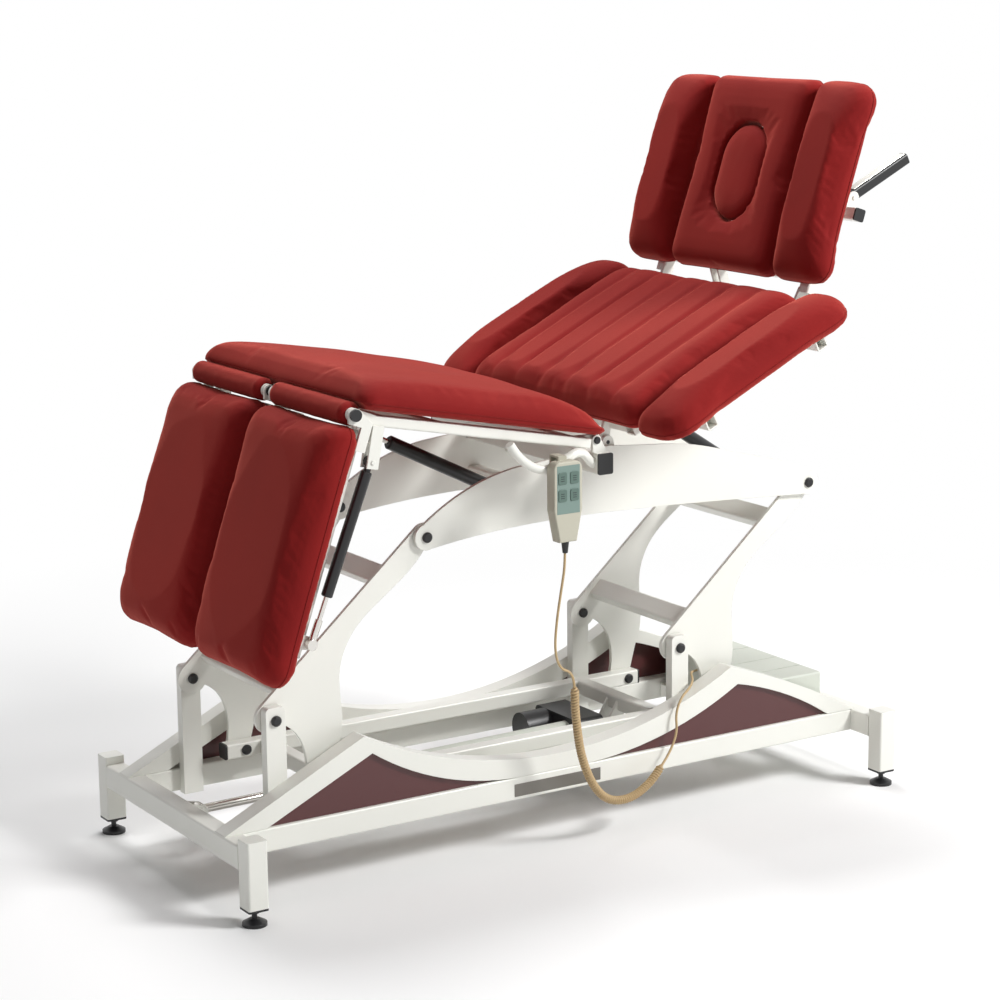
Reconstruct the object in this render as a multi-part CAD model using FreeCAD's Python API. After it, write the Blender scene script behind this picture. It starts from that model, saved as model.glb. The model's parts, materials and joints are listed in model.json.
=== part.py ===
import FreeCAD, Part
import math
import os

V = FreeCAD.Vector

# Sizes in mm. X runs from the foot end to the head end, Y from the near side to the far side.
BASE_LENGTH = 1482.0
BASE_WIDTH = 645.0
LEG_TUBE = 40.0
LEG_BOTTOM = 33.0
LEG_TOP = 159.0
RAIL_BOTTOM = 99.0
RAIL_TOP = 144.0
SIDE_FRAME_INNER = 187.0
SIDE_FRAME_WIDTH = 40.0
ARCH_HEIGHT = 282.0
WALL = 3.0
TUBE_ROUND = 4.0
PANEL_THICKNESS = 3.0
PANEL_RECESS = 8.0
FOOT_PAD_DIAMETER = 45.0

PIVOT_SPACING = 902.0
FOOT_PIVOT_X = -609.0
PIVOT_HEIGHT = 328.0
POST_LENGTH = 40.0
POST_WIDTH = 20.0
ARM_LENGTH = 442.6
ARM_ANGLE = 41.87
LINK_EAR_X = 94.0
LINK_EAR_Z = -150.0
PLATE_THICKNESS = 8.0
WASHER_THICKNESS = 2.0
LINK_BAR = 30.0
PIVOT_BOLT_DIAMETER = 12.0
PIVOT_HEAD_DIAMETER = 20.0
SMALL_BOLT_DIAMETER = 8.0
CLEARANCE = 0.3

SECTION_WIDTH = 650.0
SEAT_TILT = 11.1
SEAT_LENGTH = 535.0
SEAT_PAD_THICKNESS = 62.0
LEG_TILT = 71.1
LEG_LENGTH = 476.0
LEG_PAD_THICKNESS = 65.0
LEG_GAP = 16.0
KNEE_ROLL_RADIUS = 22.0
BACK_TILT = 26.0
BACK_LENGTH = 450.0
BACK_PAD_WIDTH = 594.0
BACK_PAD_THICKNESS = 63.0
ARM_PAD_WIDTH = 129.0
ARM_PAD_LENGTH = 480.0
HEAD_TILT = 72.0
HEAD_LENGTH = 404.0
HEAD_PAD_THICKNESS = 62.0
HEAD_CENTRE_WIDTH = 330.0
FACE_HOLE_LENGTH = 200.0
FACE_HOLE_WIDTH = 140.0

HOOK_TUBE_RADIUS = 8.5
HANDSET_WIDTH = 62.0
HANDSET_HEIGHT = 150.0
HANDSET_DEPTH = 24.0
CORD_RADIUS = 3.0
CURL_RADIUS = 8.0

# Lateral layers, as distances from the middle plane.
POST_Y = (SIDE_FRAME_INNER - POST_WIDTH, SIDE_FRAME_INNER)
ARM_Y = (POST_Y[0] - WASHER_THICKNESS - PLATE_THICKNESS, POST_Y[0] - WASHER_THICKNESS)
MID_Y = (POST_Y[0], POST_Y[0] + PLATE_THICKNESS)
LINK_Y = (ARM_Y[0] - WASHER_THICKNESS - LINK_BAR, ARM_Y[0] - WASHER_THICKNESS)
SIDE_Y = (SIDE_FRAME_INNER, SIDE_FRAME_INNER + SIDE_FRAME_WIDTH)
HALF = SECTION_WIDTH / 2.0
SEAT_RAIL_Y = (HALF - 50.0, HALF - 20.0)

# Pivot points in the side view.
P1 = (FOOT_PIVOT_X, PIVOT_HEIGHT)
P2 = (FOOT_PIVOT_X + PIVOT_SPACING, PIVOT_HEIGHT)
ARM_DX = ARM_LENGTH * math.cos(math.radians(ARM_ANGLE))
ARM_DZ = ARM_LENGTH * math.sin(math.radians(ARM_ANGLE))
Q1 = (P1[0] + ARM_DX, P1[1] + ARM_DZ)
Q2 = (P2[0] + ARM_DX, P2[1] + ARM_DZ)
E1 = (P1[0] + LINK_EAR_X, P1[1] + LINK_EAR_Z)
E2 = (P2[0] + LINK_EAR_X, P2[1] + LINK_EAR_Z)
MID_X = Q1[0] + 280.0
MID_Z = Q1[1] - 623.0
SEAT_HINGE = (MID_X + 20.0, MID_Z + 792.0)
BACK_HINGE = (MID_X + 133.0, MID_Z + 757.0)
KNEE_U = SEAT_LENGTH - 2.0
HEAD_HINGE_LOCAL = (BACK_LENGTH + 18.6, 30.0)


# Section: shapes
def box(x, y, z):
    return Part.makeBox(x[1] - x[0], y[1] - y[0], z[1] - z[0], V(x[0], y[0], z[0]))


def edges_along(shape, axis):
    found = []
    for edge in shape.Edges:
        a, b = edge.Vertexes[0].Point, edge.Vertexes[-1].Point
        step = [abs(b.x - a.x), abs(b.y - a.y), abs(b.z - a.z)]
        others = [s for i, s in enumerate(step) if i != axis]
        if step[axis] > 1e-6 and max(others) < 1e-6:
            found.append(edge)
    return found


def tube(x, y, z, along, wall=WALL):
    """Square tube with rounded corners, open at both ends."""
    outer = box(x, y, z)
    outer = outer.makeFillet(TUBE_ROUND, edges_along(outer, along))
    core = []
    for axis, span in enumerate((x, y, z)):
        core.append(span if axis == along else (span[0] + wall, span[1] - wall))
    return outer.cut(box(*core))


def disc(x, z, radius, y):
    return Part.makeCylinder(radius, y[1] - y[0], V(x, y[0], z), V(0, 1, 0))


def ring(x, z, inner, outer, y):
    return disc(x, z, outer, y).cut(disc(x, z, inner, y))


def rod_x(x, y, z, radius):
    return Part.makeCylinder(radius, x[1] - x[0], V(x[0], y, z), V(1, 0, 0))


def fuse(shapes):
    first = shapes[0]
    return first.multiFuse(shapes[1:]).removeSplitter() if len(shapes) > 1 else first


def group(shapes):
    return Part.makeCompound(shapes)


def mirrored(shape):
    return shape.mirror(V(0, 0, 0), V(0, 1, 0))


def pair(shape):
    """The shape and its mirror image on the other side of the table."""
    return [shape, mirrored(shape)]


def point(p):
    return V(p[0], 0, p[1])


def closed_wire(start, runs):
    """Wire in the side view: each run is a point, an arc (mid, end) or a list for a smooth curve."""
    edges, here = [], start
    for run in runs + [start]:
        if isinstance(run, list):
            curve = Part.BSplineCurve()
            curve.interpolate([point(here)] + [point(p) for p in run])
            edges.append(curve.toShape())
            here = run[-1]
        elif isinstance(run[0], tuple):
            edges.append(Part.Arc(point(here), point(run[0]), point(run[1])).toShape())
            here = run[1]
        elif math.dist(run, here) > 1e-6:
            edges.append(Part.makeLine(point(here), point(run)))
            here = run
    return Part.Wire(edges)


def plate(start, runs, y):
    face = Part.Face(closed_wire(start, runs))
    solid = face.extrude(V(0, y[1] - y[0], 0))
    solid.translate(V(0, y[0], 0))
    return solid


def tilted(shape, origin, angle):
    """Turn a shape drawn in a section's own frame about Y, then move its hinge to origin."""
    turned = shape.copy()
    turned.rotate(V(0, 0, 0), V(0, 1, 0), angle)
    turned.translate(V(origin[0], 0, origin[1]))
    return turned


def outward(local, origin, angle):
    """Side-view position of a point given in a section's own frame."""
    a = math.radians(angle)
    x = local[0] * math.cos(a) + local[1] * math.sin(a)
    z = -local[0] * math.sin(a) + local[1] * math.cos(a)
    return (origin[0] + x, origin[1] + z)


def domed_bolt(x, z, y, shaft, head, grip):
    """Bolt along Y: y is the span of the grip, heads stand outside it by grip."""
    parts = [disc(x, z, shaft / 2.0, (y[0] - 1.0, y[1] + 1.0))]
    for span, side in (((y[0] - grip, y[0]), 0), ((y[1], y[1] + grip), 1)):
        knob = disc(x, z, head / 2.0, span)
        rim = [e for e in knob.Edges if abs(e.BoundBox.Center.y - span[side]) < 1e-4]
        rim = [e for e in rim if len(e.Vertexes) == 1]
        parts.append(knob.makeChamfer(grip * 0.45, rim))
    return fuse(parts)


def pad(u, y, w, corner, rim):
    """Upholstered pad: rounded corners in plan, softly rounded top, tighter underside."""
    body = box(u, y, w)
    body = body.makeFillet(corner, edges_along(body, 2))
    top = [e for e in body.Edges if abs(e.BoundBox.ZMin - w[1]) < 1e-4]
    body = body.makeFillet(rim, top)
    low = [e for e in body.Edges if abs(e.BoundBox.ZMax - w[0]) < 1e-4]
    return body.makeChamfer(4.0, low)


# Section: base
def corner_legs():
    legs = []
    outer_x, outer_y = BASE_LENGTH / 2.0, BASE_WIDTH / 2.0
    for sx in (-1, 1):
        x = sorted((sx * outer_x, sx * (outer_x - LEG_TUBE)))
        y = (outer_y - LEG_TUBE, outer_y)
        leg = tube(x, y, (LEG_BOTTOM, LEG_TOP), 2)
        top = box((x[0] + WALL, x[1] - WALL), (y[0] + WALL, y[1] - WALL), (LEG_TOP - WALL, LEG_TOP))
        legs += pair(fuse([leg, top]))
    return group(legs)


LIFT_ANCHOR = (LEG_TUBE + 22.0 - BASE_LENGTH / 2.0, 122.0)


def lift_lugs():
    """Lug plates on the foot cross tube that hold the push rod of the lift drive."""
    x, z = LIFT_ANCHOR
    face = LEG_TUBE - BASE_LENGTH / 2.0
    blade = plate((face, RAIL_BOTTOM + 5.0), [(x, z - 12.0), ((x + 12.0, z), (x, z + 12.0)),
                                              (face, RAIL_TOP - 5.0)], (10.0, 15.0))
    stud = disc(x, z, 8.0, (15.0, 19.0))
    return pair(fuse([blade, stud]))


def base_cross_tubes():
    outer_x = BASE_LENGTH / 2.0
    y = BASE_WIDTH / 2.0 - LEG_TUBE
    solids = []
    for sx in (-1, 1):
        x = sorted((sx * outer_x, sx * (outer_x - LEG_TUBE)))
        solids.append(tube(x, (-y, y), (RAIL_BOTTOM, RAIL_TOP), 1))
    solids[0] = fuse([solids[0]] + lift_lugs())
    inner = SIDE_FRAME_INNER
    tray = box((514.0, 668.0), (-inner, inner), (131.0, 133.0))
    lips = [box((514.0, 668.0), (inner - 2.0, inner), (105.0, 131.0)),
            box((514.0, 516.0), (-160.0, 160.0), (133.0, 145.0)),
            box((666.0, 668.0), (-160.0, 160.0), (133.0, 145.0))]
    solids.append(fuse([tray] + pair(lips[0]) + lips[1:]))
    return group(solids)


def window_left():
    return ((-654.0, RAIL_TOP), [(-433.0, ARCH_HEIGHT - 35.0),
                                 ((-262.0, 166.0), (-112.0, RAIL_TOP))])


def window_right():
    return ((52.0, RAIL_TOP), [((225.0, 171.0), (407.0, ARCH_HEIGHT - 37.0)),
                               ((528.0, 205.0), (640.0, RAIL_TOP))])


def arch_profile(y):
    """Outline of the double-humped arch tube."""
    return plate((-738.0, RAIL_TOP),
                 [(-450.0, ARCH_HEIGHT), ((-30.0, 176.0), (390.0, ARCH_HEIGHT + 1.0)),
                  ((548.0, 224.0), (712.0, RAIL_TOP))], y)


def side_frame():
    inner_x = BASE_LENGTH / 2.0 - LEG_TUBE
    rail = tube((-inner_x, inner_x), SIDE_Y, (RAIL_BOTTOM, RAIL_TOP), 0)
    arch = arch_profile(SIDE_Y)
    for start, runs in (window_left(), window_right()):
        arch = arch.cut(plate(start, runs, SIDE_Y))
    return fuse([rail, arch])


def infill_panels():
    y = (SIDE_Y[1] - PANEL_RECESS - PANEL_THICKNESS, SIDE_Y[1] - PANEL_RECESS)
    solids = []
    for start, runs in (window_left(), window_right()):
        solids += pair(plate(start, runs, y))
    return group(solids)


def pivot_posts():
    solids = []
    half = POST_LENGTH / 2.0
    for px, pz in (P1, P2):
        post = box((px - half, px + half), POST_Y, (RAIL_BOTTOM - 2.0, pz + 25.0))
        tops = [e for e in edges_along(post, 1) if e.Vertexes[0].Point.z > pz]
        post = post.makeFillet(9.0, tops)
        post = post.cut(disc(px, pz, PIVOT_BOLT_DIAMETER / 2.0, POST_Y))
        solids += pair(post)
    return group(solids)


def levelling_feet():
    solids = []
    x = (BASE_LENGTH - LEG_TUBE) / 2.0
    y = (BASE_WIDTH - LEG_TUBE) / 2.0
    half = LEG_TUBE / 2.0
    for sx in (-1, 1):
        cx = sx * x
        cap = box((cx - half, cx + half), (y - half, y + half), (LEG_BOTTOM - 4.0, LEG_BOTTOM))
        cap = cap.makeFillet(TUBE_ROUND, edges_along(cap, 2))
        core = half - WALL - 0.5
        plug = box((cx - core, cx + core), (y - core, y + core), (LEG_BOTTOM, LEG_BOTTOM + 16.0))
        stem = Part.makeCylinder(5.0, 30.0, V(cx, y, 6.0))
        nut = Part.makeCylinder(9.0, 6.0, V(cx, y, LEG_BOTTOM - 10.0))
        base = Part.makeCylinder(FOOT_PAD_DIAMETER / 2.0, 6.0, V(cx, y, 0.0))
        neck = Part.makeCone(FOOT_PAD_DIAMETER / 2.0, 10.0, 7.0, V(cx, y, 6.0))
        solids += pair(fuse([cap, plug, stem, nut, base, neck]))
    return group(solids)


def control_box():
    top = 220.0
    body = box((520.0, 662.0), (-178.0, 178.0), (133.0, top))
    body = body.makeFillet(6.0, edges_along(body, 2))
    rim = [e for e in body.Edges if abs(e.BoundBox.ZMin - top) < 1e-4]
    body = body.makeChamfer(3.0, rim)
    for y in (-112.0, -34.0, 62.0):
        body = body.cut(box((519.0, 663.0), (y - 1.5, y + 1.5), (top - 3.0, top + 1.0)))
    return body


def base_pivot_bolts():
    solids = []
    for px, pz in (P1, P2):
        grip = (ARM_Y[0] - 0.2, POST_Y[1])
        solids += pair(domed_bolt(px, pz, grip, PIVOT_BOLT_DIAMETER, PIVOT_HEAD_DIAMETER, 7.0))
        washer = ring(px, pz, PIVOT_BOLT_DIAMETER / 2.0, 13.0, (ARM_Y[1] + 0.1, POST_Y[0]))
        solids += pair(washer)
    return group(solids)


# Section: lift arms
def arm_plate(pivot):
    """Boomerang plate with ears at the base pivot, the upper pivot and the link pivot."""
    a = math.radians(ARM_ANGLE)
    nx, nz = -math.sin(a), math.cos(a)
    start = (30.0 * nx, 30.0 * nz)
    runs = [(ARM_DX + 25.0 * nx, ARM_DZ + 25.0 * nz), (ARM_DX, ARM_DZ),
            (ARM_DX - 1.0, ARM_DZ - 25.0),
            [(221.0, 178.0), (174.0, 134.0), (145.0, 64.0), (147.0, 0.0), (134.0, -88.0)],
            (LINK_EAR_X + 25.0, LINK_EAR_Z + 6.0), (LINK_EAR_X, LINK_EAR_Z),
            (LINK_EAR_X - 25.0, LINK_EAR_Z + 8.0),
            [(72.0, -90.0), (56.0, -43.0), (28.0, -18.0)], (0.0, 0.0)]
    body = plate(start, runs, ARM_Y)
    ears = [disc(0.0, 0.0, 30.0, ARM_Y), disc(ARM_DX, ARM_DZ, 25.0, ARM_Y),
            disc(LINK_EAR_X, LINK_EAR_Z, 26.0, ARM_Y)]
    body = fuse([body] + ears)
    hole = PIVOT_BOLT_DIAMETER / 2.0 + CLEARANCE
    for x, z in ((0.0, 0.0), (ARM_DX, ARM_DZ), (LINK_EAR_X, LINK_EAR_Z)):
        body = body.cut(disc(x, z, hole, ARM_Y))
    body.translate(point(pivot))
    return body


def arm_plates(pivot):
    return group(pair(arm_plate(pivot)))


def arm_tube(along, across, pivot):
    span = (-ARM_Y[0], ARM_Y[0])
    shape = tube((along - 20.0, along + 20.0), span, (across - 12.5, across + 12.5), 1)
    return tilted(shape, pivot, -ARM_ANGLE)


CORD_CLIP = (P2[0] + 88.0, PIVOT_HEIGHT - 64.0)


def foot_arm_tubes():
    return group([arm_tube(60.0, 7.0, P1), arm_tube(336.0, 0.0, P1)])


def head_arm_tubes():
    face = -ARM_Y[0]
    x, z = CORD_CLIP
    y = face + 3.0 + CORD_RADIUS
    base = box((x - 6.0, x + 6.0), (face, face + 2.5), (z - 14.0, z + 8.0))
    loop = rod_x((x - 6.0, x + 6.0), y, z, CORD_RADIUS + 2.8)
    loop = loop.cut(rod_x((x - 7.0, x + 7.0), y, z, CORD_RADIUS + 0.5))
    return group([arm_tube(60.0, 7.0, P2), arm_tube(336.0, 0.0, P2), fuse([base, loop])])


# Section: link frame
LINK_X = (E1[0] - 40.0, E2[0] + 24.0)
MOTOR_PIVOT = (E2[0] - 151.0, E2[1] - 45.0)


def link_frame():
    z = (E1[1] - LINK_BAR / 2.0, E1[1] + LINK_BAR / 2.0)
    bar = tube(LINK_X, LINK_Y, z, 0)
    for ex in (E1[0], E2[0]):
        bar = bar.cut(disc(ex, E1[1], PIVOT_BOLT_DIAMETER / 2.0, LINK_Y))
    cross = [tube((E2[0] - 129.0, E2[0] - 99.0), (-LINK_Y[0], LINK_Y[0]), z, 1),
             tube((E1[0] + 30.0, E1[0] + 60.0), (-LINK_Y[0], LINK_Y[0]), z, 1)]
    mx, mz = MOTOR_PIVOT
    lug = plate((mx, mz - 13.0), [(mx + 50.0, mz + 32.0), (mx + 23.0, mz + 52.0), (mx, mz + 13.0),
                                  ((mx - 13.0, mz), (mx, mz - 13.0))], (14.0, 20.0))
    pin = disc(mx, mz, 4.0, (-24.0, 24.0))
    return fuse(pair(bar) + cross + pair(lug) + [pin])


def link_caps_and_bolts():
    solids = []
    z = (E1[1] - LINK_BAR / 2.0, E1[1] + LINK_BAR / 2.0)
    for x in ((LINK_X[0] - 4.0, LINK_X[0]), (LINK_X[1], LINK_X[1] + 4.0)):
        cap = box(x, LINK_Y, z)
        solids += pair(cap.makeFillet(TUBE_ROUND, edges_along(cap, 0)))
    grip = (LINK_Y[0], ARM_Y[1] + 0.2)
    for ex in (E1[0], E2[0]):
        bolt = domed_bolt(ex, E1[1], grip, PIVOT_BOLT_DIAMETER, PIVOT_HEAD_DIAMETER, 6.0)
        solids += pair(bolt)
        washer = ring(ex, E1[1], PIVOT_BOLT_DIAMETER / 2.0, 13.0, (LINK_Y[1], ARM_Y[0] - 0.1))
        solids += pair(washer)
    return group(solids)


# Section: struts and the lift drive
def strut(start, end, y, barrel, rod, barrel_end, rod_start, eye, half, head=0.0):
    """Telescopic strut from start to end: returns the barrel and the rod."""
    length = math.dist(start, end)
    angle = -math.degrees(math.atan2(end[1] - start[1], end[0] - start[0]))
    first = eye + 8.0
    near_eye = ring(0.0, 0.0, 4.0 + CLEARANCE, eye, (y - half, y + half))
    neck = rod_x((eye - 2.0, first + 2.0), y, 0.0, half - 0.5)
    body = rod_x((first, barrel_end), y, 0.0, barrel)
    rims = [e for e in body.Edges if len(e.Vertexes) == 1]
    body = body.makeChamfer(min(3.0, barrel * 0.2), rims)
    bore = rod_x((first + 12.0, barrel_end + 1.0), y, 0.0, rod + CLEARANCE)
    tube_side = fuse([near_eye, neck, body]).cut(bore)
    stem = rod_x((rod_start, length - 2.0), y, 0.0, rod)
    tab = disc(length, 0.0, eye, (y - half, y + half))
    parts = [stem, tab]
    if head:
        parts.append(rod_x((length - 46.0, length - eye + 2.0), y, 0.0, head))
    rod_side = fuse(parts)
    return tilted(tube_side, start, angle), tilted(rod_side, start, angle)


LIFT_ROD = 8.5


def lift_drive():
    """Drive between the link frame and the foot cross tube; its motor lies beside the outer tube."""
    eye = LIFT_ANCHOR
    barrel, rod = strut(MOTOR_PIVOT, eye, 0.0, 24.0, LIFT_ROD, 640.0, 150.0, 13.0, 9.0)
    angle = -math.degrees(math.atan2(eye[1] - MOTOR_PIVOT[1], eye[0] - MOTOR_PIVOT[0]))
    gearbox = box((24.0, 92.0), (-36.0, 112.0), (-33.0, 33.0))
    gearbox = gearbox.makeFillet(10.0, edges_along(gearbox, 0))
    motor = rod_x((60.0, 152.0), 76.0, 0.0, 33.0)
    body = fuse([gearbox, motor])
    bore = rod_x((33.0, 700.0), 0.0, 0.0, LIFT_ROD + CLEARANCE)
    body = tilted(body.cut(bore), MOTOR_PIVOT, angle)
    return fuse([barrel, body]), rod


# Section: middle frame
def at_mid(shape):
    moved = shape.copy()
    moved.translate(V(MID_X, 0, MID_Z))
    return moved


def mid_plates():
    top_left = [(-211.0, 693.0), (-154.0, 716.0), (-77.0, 733.0)]
    top_right = [(202.0, 745.0), (325.0, 733.0), (455.0, 701.0), (588.0, 664.0), (640.0, 641.0)]
    low = [(473.0, 608.0), (197.0, 620.0), (-63.0, 620.0), (-270.0, 600.0)]
    y = MID_Y
    body = plate((-288.0, 646.0), [top_left, (131.0, 752.0), top_right, (623.0, 623.0),
                                   (616.0, 600.0), low, (-280.0, 623.0)], y)
    ears = [disc(-280.0, 623.0, 25.0, y), disc(-280.0 + PIVOT_SPACING, 623.0, 25.0, y)]
    inside = (y[0] - PLATE_THICKNESS, y[0])
    lug = plate((110.0, 690.0), [(156.0, 690.0), (146.0, 757.0), ((133.0, 770.0), (120.0, 757.0))],
                inside)
    body = fuse([body] + ears + [lug])
    for x in (-280.0, -280.0 + PIVOT_SPACING):
        body = body.cut(disc(x, 623.0, PIVOT_BOLT_DIAMETER / 2.0, y))
    body = body.cut(disc(133.0, 757.0, SMALL_BOLT_DIAMETER / 2.0, inside))
    body = body.cut(box((17.0, 50.0), y, (727.0, 790.0)))
    return group([at_mid(s) for s in pair(body)])


SEAT_MOUNT = (0.0, 645.0)
BACK_MOUNT = (560.0, 640.0)


def cheek(start, runs, y, eye, hole):
    """Lug plate with a round hole for its pin."""
    return plate(start, runs, y).cut(disc(eye[0], eye[1], hole, y))


def mid_cross_tubes():
    y = (-MID_Y[0], MID_Y[0])
    front = tube((20.0, 50.0), y, (640.0, 670.0), 1)
    rear = tube((490.0, 520.0), y, (608.0, 636.0), 1)
    mx, mz = SEAT_MOUNT
    lug_f = plate((20.0, mz - 5.0), [(20.0, mz + 16.0), (mx, mz + 12.0),
                                     ((mx - 12.0, mz), (mx, mz - 12.0))], (10.0, 15.0))
    pin_f = disc(mx, mz, 4.0, (-19.0, 19.0))
    bx, bz = BACK_MOUNT
    lug_b = plate((520.0, bz - 6.0), [(520.0, 610.0), (bx, bz - 12.0),
                                      ((bx + 12.0, bz), (bx, bz + 12.0))], (10.0, 15.0))
    pin_b = disc(bx, bz, 4.0, (-19.0, 19.0))
    return group([at_mid(fuse([front] + pair(lug_f) + [pin_f])),
                  at_mid(fuse([rear] + pair(lug_b) + [pin_b]))])


def hinge_tube():
    """Tube across the table that carries the seat hinge."""
    end = SEAT_RAIL_Y[1] - 5.0
    body = tube((17.0, 50.0), (-end, end), (727.0, 767.0), 1)
    hx, hz = 20.0, 792.0
    bracket = plate((17.0, 767.0),
                    [(44.0, 767.0), (hx + 10.0, hz), ((hx, hz + 10.0), (hx - 10.0, hz)),
                     (hx - 8.0, 770.0), (17.0, 767.0)], (SEAT_RAIL_Y[0] + 11.0, end - 6.0))
    bracket = bracket.cut(disc(hx, hz, SMALL_BOLT_DIAMETER / 2.0, (SEAT_RAIL_Y[0], end)))
    return at_mid(fuse([body] + pair(bracket)))


def mid_caps_and_bolts():
    solids = []
    end = SEAT_RAIL_Y[1] - 5.0
    cap = box((17.0, 50.0), (end, end + 4.0), (727.0, 767.0))
    solids += pair(at_mid(cap.makeFillet(TUBE_ROUND, edges_along(cap, 1))))
    for x in (Q1[0], Q2[0]):
        grip = (ARM_Y[0] - 0.2, MID_Y[1])
        solids += pair(domed_bolt(x, Q1[1], grip, PIVOT_BOLT_DIAMETER, PIVOT_HEAD_DIAMETER, 6.0))
        washer = ring(x, Q1[1], PIVOT_BOLT_DIAMETER / 2.0, 13.0, (ARM_Y[1] + 0.1, MID_Y[0]))
        solids += pair(washer)
    x, z = SEAT_HINGE
    inner = SEAT_RAIL_Y[0]
    grip = (inner + 0.8, inner + 19.2)
    solids += pair(domed_bolt(x, z, grip, SMALL_BOLT_DIAMETER, 14.0, 4.0))
    x, z = BACK_HINGE
    head = disc(x, z, 7.0, (ARM_Y[0] - 14.0, ARM_Y[0] - 8.2))
    shaft = disc(x, z, SMALL_BOLT_DIAMETER / 2.0, (ARM_Y[0] - 9.0, MID_Y[0]))
    solids += pair(fuse([head, shaft]))
    return group(solids)


def sweep(points, radius, step):
    """Round bar along a smooth curve, made of straight lengths with mitred joints."""
    curve = Part.BSplineCurve()
    curve.interpolate(points)
    count = max(2, int(curve.length() / step))
    stops = curve.discretize(Number=count + 1)
    direction = (stops[1] - stops[0]).normalize()
    circle = Part.Wire([Part.makeCircle(radius, stops[0], direction)])
    return Part.makePolygon(stops).makePipeShell([circle], True, False, 1)


HOOK_Y = -(SEAT_RAIL_Y[1] + 15.0)


def handset_hook():
    y = HOOK_Y
    points = [V(-189, y, 811), V(-172, y, 788), V(-143, y, 765), V(-106, y, 755), V(-72, y, 767),
              V(-40, y + 3, 779), V(-12, y + 17, 768), V(17, y + 36, 747)]
    bar = sweep(points + [V(27, y + 38, 742)], HOOK_TUBE_RADIUS, 12.0)
    return at_mid(bar.cut(box((17.0, 50.0), (-300.0, 300.0), (700.0, 800.0))))


# Section: seat section
SEAT_SPRING_EYE = (-347.0, -50.0)
LEG_SPRING_TOP = (-480.0, -80.0)
SPRING_Y = HALF - 28.0
KNEE = (-KNEE_U, 0.0)


def seat_place(shape):
    return tilted(shape, SEAT_HINGE, SEAT_TILT)


def seat_frame():
    low, high = -17.0, 3.0
    y = SEAT_RAIL_Y
    rail = tube((-KNEE_U + 25.0, -20.0), y, (low, high), 0)
    lug = plate((0.0, -10.0), [(-40.0, -14.0), (-40.0, 3.0), (0.0, 10.0), ((10.0, 0.0), (0.0, -10.0))],
                (y[0] + 1.0, y[0] + 9.0))
    lug = lug.cut(disc(0.0, 0.0, SMALL_BOLT_DIAMETER / 2.0 + CLEARANCE, (y[0], y[1])))
    knee = plate((-KNEE_U, -12.0), [(-KNEE_U + 46.0, -17.0), (-KNEE_U + 46.0, 3.0), (-KNEE_U, 12.0),
                                    ((-KNEE_U - 12.0, 0.0), (-KNEE_U, -12.0))], (y[1] - 6.0, y[1]))
    block = box((-491.0, -468.0), (SPRING_Y - 12.0, SPRING_Y + 12.0), (-46.0, low + 2.0))
    sides = [box((-491.0, -468.0), (SPRING_Y - 12.0, SPRING_Y - 8.5), (-92.0, -45.0)),
             box((-491.0, -468.0), (SPRING_Y + 8.5, SPRING_Y + 12.0), (-92.0, -45.0))]
    pin = disc(LEG_SPRING_TOP[0], LEG_SPRING_TOP[1], 4.0, (SPRING_Y - 14.0, SPRING_Y + 14.0))
    side = [rail, lug, knee, block, pin] + sides
    cross = [tube((x - 15.0, x + 15.0), (-y[0], y[0]), (low, high), 1)
             for x in (-60.0, -347.0, -470.0)]
    centre = plate((-KNEE_U, -12.0), [(-484.0, -17.0), (-484.0, 3.0), (-KNEE_U, 12.0),
                                      ((-KNEE_U - 12.0, 0.0), (-KNEE_U, -12.0))], (16.0, 22.0))
    ex, ez = SEAT_SPRING_EYE
    blade = plate((ex - 12.0, low), [(ex - 11.0, ez), ((ex, ez - 11.0), (ex + 11.0, ez)),
                                     (ex + 12.0, low)], (9.5, 14.5))
    stud = disc(ex, ez, 7.0, (14.5, 18.5))
    halves = []
    for solid in side + [centre, blade, stud]:
        halves += pair(solid)
    body = fuse(halves + cross)
    return seat_place(body.cut(disc(KNEE[0], KNEE[1], 4.5, (-HALF, HALF))))


def seat_cushion():
    edge = 8.0
    body = pad((edge - SEAT_LENGTH, edge), (-HALF, HALF), (11.0, 11.0 + SEAT_PAD_THICKNESS), 22.0, 22.0)
    board = box((edge - SEAT_LENGTH + 46.0, -46.0), (-HALF + 25.0, HALF - 25.0), (3.0, 12.0))
    body = fuse([body, board])
    body = body.cut(disc(KNEE[0], KNEE[1], KNEE_ROLL_RADIUS + 2.0, (-HALF - 1.0, HALF + 1.0)))
    return seat_place(body)


def knee_rolls():
    y = (25.0, SEAT_RAIL_Y[1] - 8.0)
    roll = ring(KNEE[0], KNEE[1], 5.0, KNEE_ROLL_RADIUS, y)
    return seat_place(group(pair(roll)))


def seat_bolts():
    """Knee pins with a black knob at their near end."""
    outer = SEAT_RAIL_Y[1]
    solids = []
    for span in ((-outer - 9.0, -7.0), (7.0, outer + 9.0)):
        pin = disc(KNEE[0], KNEE[1], 4.5, span)
        knob = disc(KNEE[0], KNEE[1], 11.0, (span[0] - 5.0, span[0] + 0.5))
        if span[0] > 0:
            knob = disc(KNEE[0], KNEE[1], 9.0, (span[0] - 3.0, span[0] + 0.5))
        nut = disc(KNEE[0], KNEE[1], 8.0, (span[1] - 0.5, span[1] + 3.0))
        solids.append(fuse([pin, knob, nut]))
    return seat_place(group(solids))


# Section: leg sections
LEG_SPRING_LOW = (-410.0, -46.0)
KNEE_POINT = outward(KNEE, SEAT_HINGE, SEAT_TILT)


def leg_place(shape):
    return tilted(shape, KNEE_POINT, -LEG_TILT)


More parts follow.
